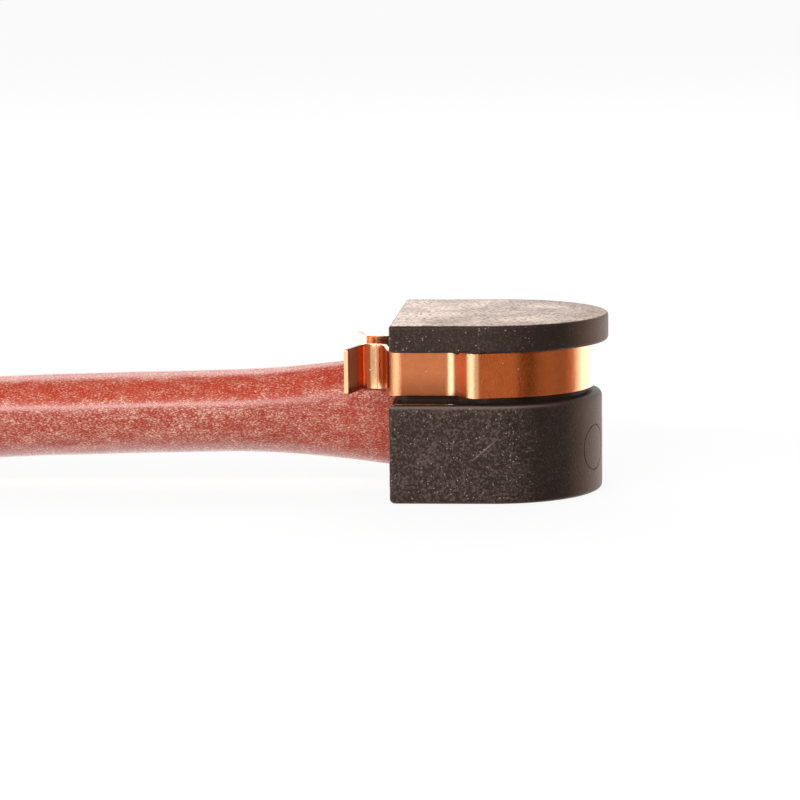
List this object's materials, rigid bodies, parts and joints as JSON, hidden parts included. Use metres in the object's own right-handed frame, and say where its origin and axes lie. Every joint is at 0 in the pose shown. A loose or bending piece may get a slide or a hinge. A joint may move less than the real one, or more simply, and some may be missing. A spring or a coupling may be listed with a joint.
{
  "type": "brake pad wear sensor",
  "caption": "Brake pad wear sensor: D-shaped moulded head with a bronze spring clip in its groove, on a silicone-sleeved lead with a single-pole plug",
  "frame": {"origin": "on the wear face, on the axis of the rounded nose", "axes": "+Z from the wear face up through the flange; +X towards the nose; the lead leaves towards -X; symmetric about the XZ plane at the head"},
  "size_m": [0.1168, 0.0106, 0.0088],
  "materials": {
    "moulding": "matt mineral-filled moulding with fine light specks",
    "bronze": "bright rolled bronze strip with fine lines along it",
    "brass": "plain turned and formed brass",
    "copper": "stranded copper, drawn as one round",
    "insulation": "smooth white fluoropolymer",
    "silicone": "matt red silicone dusted with pale talc",
    "plug": "black moulded nylon",
    "pin_brass": "turned brass",
    "seal_rubber": "moulded orange seal rubber",
    "ring_rubber": "moulded orange seal rubber"
  },
  "bodies": {
    "root": {"head_moulding": "moulding", "spring_clip": "bronze", "sensing_contact": "brass", "lead_conductor": "copper", "lead_insulation": "insulation", "silicone_sleeve": "silicone", "plug_body": "plug", "plug_pin": "pin_brass", "cable_seal": "seal_rubber", "seal_ring": "ring_rubber"}
  },
  "joints": []
}
